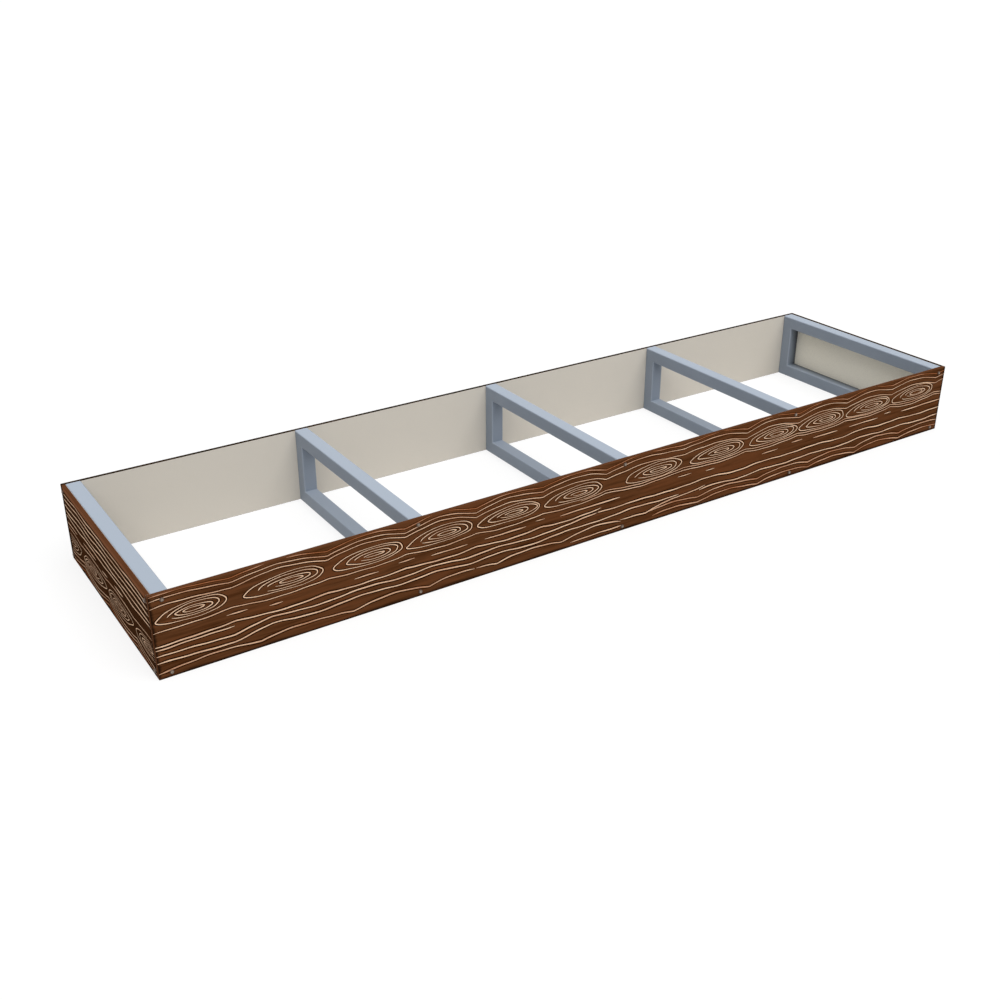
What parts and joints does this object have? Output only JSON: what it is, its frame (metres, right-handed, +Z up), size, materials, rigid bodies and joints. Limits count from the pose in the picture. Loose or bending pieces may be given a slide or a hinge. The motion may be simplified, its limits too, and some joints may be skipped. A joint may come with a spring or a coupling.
{
  "type": "raised garden bed",
  "caption": "Shallow bottomless raised garden bed: boards with a wood-grain print, screwed round a row of welded square-tube frames, stand on the ground and hold soil.",
  "frame": {"origin": "middle of the bed on the ground it stands on", "axes": "+X along the bed towards its right end as seen from the front, +Y from front to back, +Z up"},
  "size_m": [2.0062, 0.5222, 0.165],
  "materials": {
    "printed_board": "matt brown print with cream grain lines outside, plain grey-beige inside, dark edges",
    "frame_steel": "smooth matt light blue-grey coat",
    "zinc_screw": "zinc plated"
  },
  "bodies": {
    "root": {"front_panel": "printed_board", "back_panel": "printed_board", "left_end_panel": "printed_board", "right_end_panel": "printed_board", "frame_1_bottom_rail": "frame_steel", "frame_1_top_rail": "frame_steel", "frame_1_front_upright": "frame_steel", "frame_1_back_upright": "frame_steel", "frame_2_bottom_rail": "frame_steel", "frame_2_top_rail": "frame_steel", "frame_2_front_upright": "frame_steel", "frame_2_back_upright": "frame_steel", "frame_3_bottom_rail": "frame_steel", "frame_3_top_rail": "frame_steel", "frame_3_front_upright": "frame_steel", "frame_3_back_upright": "frame_steel", "frame_4_bottom_rail": "frame_steel", "frame_4_top_rail": "frame_steel", "frame_4_front_upright": "frame_steel", "frame_4_back_upright": "frame_steel", "frame_5_bottom_rail": "frame_steel", "frame_5_top_rail": "frame_steel", "frame_5_front_upright": "frame_steel", "frame_5_back_upright": "frame_steel", "front_screws": "zinc_screw", "back_screws": "zinc_screw", "left_end_screws": "zinc_screw", "right_end_screws": "zinc_screw"}
  },
  "joints": []
}
